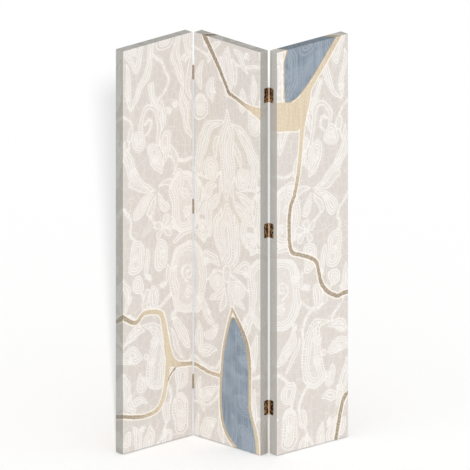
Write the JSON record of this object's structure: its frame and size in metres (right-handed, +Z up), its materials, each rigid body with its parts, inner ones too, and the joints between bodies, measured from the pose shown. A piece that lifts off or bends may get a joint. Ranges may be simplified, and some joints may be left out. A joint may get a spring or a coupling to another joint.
{
  "type": "partition wall",
  "caption": "Free-standing folding partition wall: tall printed canvas panels on timber stretcher frames, joined edge to edge by brass butt hinges and standing open in a zigzag.",
  "frame": {"origin": "on the floor, under the middle of the standing screen's bounding box", "axes": "+Z up; +X along the open screen from the left panel to the right one; the printed fronts look towards -Y"},
  "size_m": [0.986, 0.3216, 1.8],
  "materials": {
    "printed_canvas": "matt printed cotton canvas, raw on the back",
    "pine": "planed, unfinished",
    "key_wood": "sawn hardwood, unfinished",
    "hinge_brass": "antiqued brass, dark in patches",
    "screw_brass": "antiqued brass",
    "staple_wire": "zinc plated",
    "glide_plastic": "moulded, matt"
  },
  "bodies": {
    "middle_panel": {"middle_panel_canvas": "printed_canvas", "middle_panel_left_stile": "pine", "middle_panel_right_stile": "pine", "middle_panel_top_rail": "pine", "middle_panel_bottom_rail": "pine", "middle_panel_lower_crossbar": "pine", "middle_panel_upper_crossbar": "pine", "middle_panel_corner_keys": "key_wood", "middle_panel_staples": "staple_wire", "middle_panel_glides": "glide_plastic", "left_hinge_top_leaf_middle": "hinge_brass", "left_hinge_top_pin": "hinge_brass", "left_hinge_middle_leaf_middle": "hinge_brass", "left_hinge_middle_pin": "hinge_brass", "left_hinge_bottom_leaf_middle": "hinge_brass", "left_hinge_bottom_pin": "hinge_brass", "left_hinge_screws_middle": "screw_brass", "right_hinge_top_leaf_middle": "hinge_brass", "right_hinge_top_pin": "hinge_brass", "right_hinge_middle_leaf_middle": "hinge_brass", "right_hinge_middle_pin": "hinge_brass", "right_hinge_bottom_leaf_middle": "hinge_brass", "right_hinge_bottom_pin": "hinge_brass", "right_hinge_screws_middle": "screw_brass"},
    "left_panel": {"left_panel_canvas": "printed_canvas", "left_panel_left_stile": "pine", "left_panel_right_stile": "pine", "left_panel_top_rail": "pine", "left_panel_bottom_rail": "pine", "left_panel_lower_crossbar": "pine", "left_panel_upper_crossbar": "pine", "left_panel_corner_keys": "key_wood", "left_panel_staples": "staple_wire", "left_panel_glides": "glide_plastic", "left_hinge_top_leaf_left": "hinge_brass", "left_hinge_middle_leaf_left": "hinge_brass", "left_hinge_bottom_leaf_left": "hinge_brass", "left_hinge_screws_left": "screw_brass"},
    "right_panel": {"right_panel_canvas": "printed_canvas", "right_panel_left_stile": "pine", "right_panel_right_stile": "pine", "right_panel_top_rail": "pine", "right_panel_bottom_rail": "pine", "right_panel_lower_crossbar": "pine", "right_panel_upper_crossbar": "pine", "right_panel_corner_keys": "key_wood", "right_panel_staples": "staple_wire", "right_panel_glides": "glide_plastic", "right_hinge_top_leaf_right": "hinge_brass", "right_hinge_middle_leaf_right": "hinge_brass", "right_hinge_bottom_leaf_right": "hinge_brass", "right_hinge_screws_right": "screw_brass"}
  },
  "joints": [
    {"name": "left_fold", "type": "hinge", "parent": "middle_panel", "child": "left_panel", "pos_m": [-0.16404, 0.12636, 0], "axis": [0, 0, -1], "range_deg": [-92.1, 87.9]},
    {"name": "right_fold", "type": "hinge", "parent": "middle_panel", "child": "right_panel", "pos_m": [0.15722, -0.12549, 0], "axis": [0, 0, -1], "range_deg": [-93.4, 86.6]}
  ]
}
